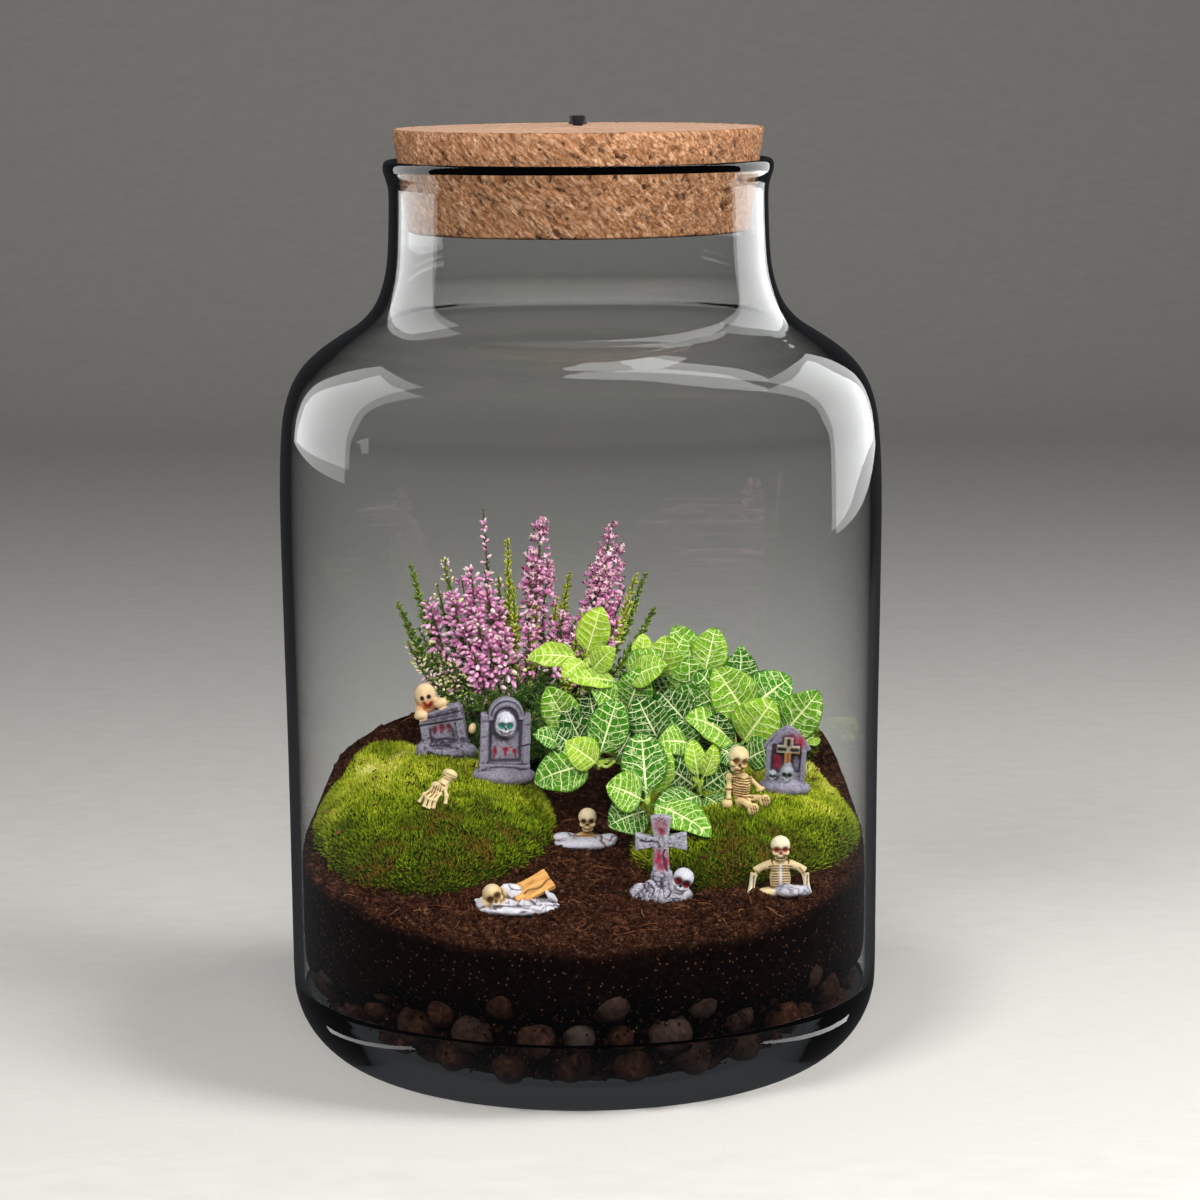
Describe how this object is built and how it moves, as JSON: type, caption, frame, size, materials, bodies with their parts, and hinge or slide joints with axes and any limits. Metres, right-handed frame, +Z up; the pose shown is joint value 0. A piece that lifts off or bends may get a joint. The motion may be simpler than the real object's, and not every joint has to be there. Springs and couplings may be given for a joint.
{
  "type": "glass plant terrarium",
  "caption": "Tall glass jar with a cork stopper, planted inside with moss, heather and a nerve plant on soil over clay pebbles, with small resin graveyard ornaments.",
  "frame": {"origin": "centre of the jar's foot, on the surface that it stands on", "axes": "+Z up along the jar's axis, -Y towards the front, +X to the right as seen from the front"},
  "size_m": [0.1848, 0.1848, 0.2909],
  "materials": {
    "glass": "polished clear soda-lime glass, faint green in its thick base",
    "cork": "matte pressed cork, sandy tan with dark pits and streaks",
    "black_plastic": "satin black moulded plastic",
    "soil": "matte dark brown peat with fibres",
    "clay": "matte expanded clay, dark red-brown",
    "moss": "matte living moss, yellow-green",
    "heather_foliage": "satin fine heather foliage, dark to lime green",
    "heather_flower": "matte heather buds, pink",
    "fittonia_stem": "satin pale green stem",
    "fittonia_leaf": "satin lime-green leaf with a net of cream veins",
    "grey_resin": "matte painted casting resin, stone grey with red marks",
    "pale_resin": "matte painted casting resin, white stone with grey wash",
    "bone_resin": "satin painted casting resin, bone with a brown wash"
  },
  "bodies": {
    "root": {"glass_jar": "glass", "cork_stopper": "cork", "stopper_plug": "black_plastic", "potting_soil": "soil", "clay_pebble_01": "clay", "clay_pebble_02": "clay", "clay_pebble_03": "clay", "clay_pebble_04": "clay", "clay_pebble_05": "clay", "clay_pebble_06": "clay", "clay_pebble_07": "clay", "clay_pebble_08": "clay", "clay_pebble_09": "clay", "clay_pebble_10": "clay", "clay_pebble_11": "clay", "clay_pebble_12": "clay", "clay_pebble_13": "clay", "clay_pebble_14": "clay", "moss_cushion_left": "moss", "moss_cushion_right": "moss", "moss_patch_back": "moss", "ghost_gravestone": "grey_resin", "skull_gravestone": "grey_resin", "bone_hand": "bone_resin", "rising_skull": "pale_resin", "cross_gravestone": "pale_resin", "broken_coffin": "pale_resin", "rising_skeleton": "bone_resin", "sitting_skeleton": "bone_resin", "chapel_gravestone": "grey_resin", "heather_bush": "heather_foliage", "heather_spike_01": "heather_foliage", "heather_spike_02": "heather_foliage", "heather_spike_03": "heather_foliage", "heather_spike_04": "heather_foliage", "heather_spike_05": "heather_flower", "heather_spike_06": "heather_foliage", "heather_spike_07": "heather_foliage", "heather_spike_08": "heather_flower", "heather_spike_09": "heather_foliage", "heather_spike_10": "heather_flower", "heather_spike_11": "heather_foliage", "fittonia_stems": "fittonia_stem", "fittonia_leaf_01": "fittonia_leaf", "fittonia_leaf_02": "fittonia_leaf", "fittonia_leaf_03": "fittonia_leaf", "fittonia_leaf_04": "fittonia_leaf", "fittonia_leaf_05": "fittonia_leaf", "fittonia_leaf_06": "fittonia_leaf", "fittonia_leaf_07": "fittonia_leaf", "fittonia_leaf_08": "fittonia_leaf", "fittonia_leaf_09": "fittonia_leaf", "fittonia_leaf_10": "fittonia_leaf", "fittonia_leaf_11": "fittonia_leaf", "fittonia_leaf_12": "fittonia_leaf", "fittonia_leaf_13": "fittonia_leaf", "fittonia_leaf_14": "fittonia_leaf", "fittonia_leaf_15": "fittonia_leaf", "fittonia_leaf_16": "fittonia_leaf", "fittonia_leaf_17": "fittonia_leaf"}
  },
  "joints": []
}
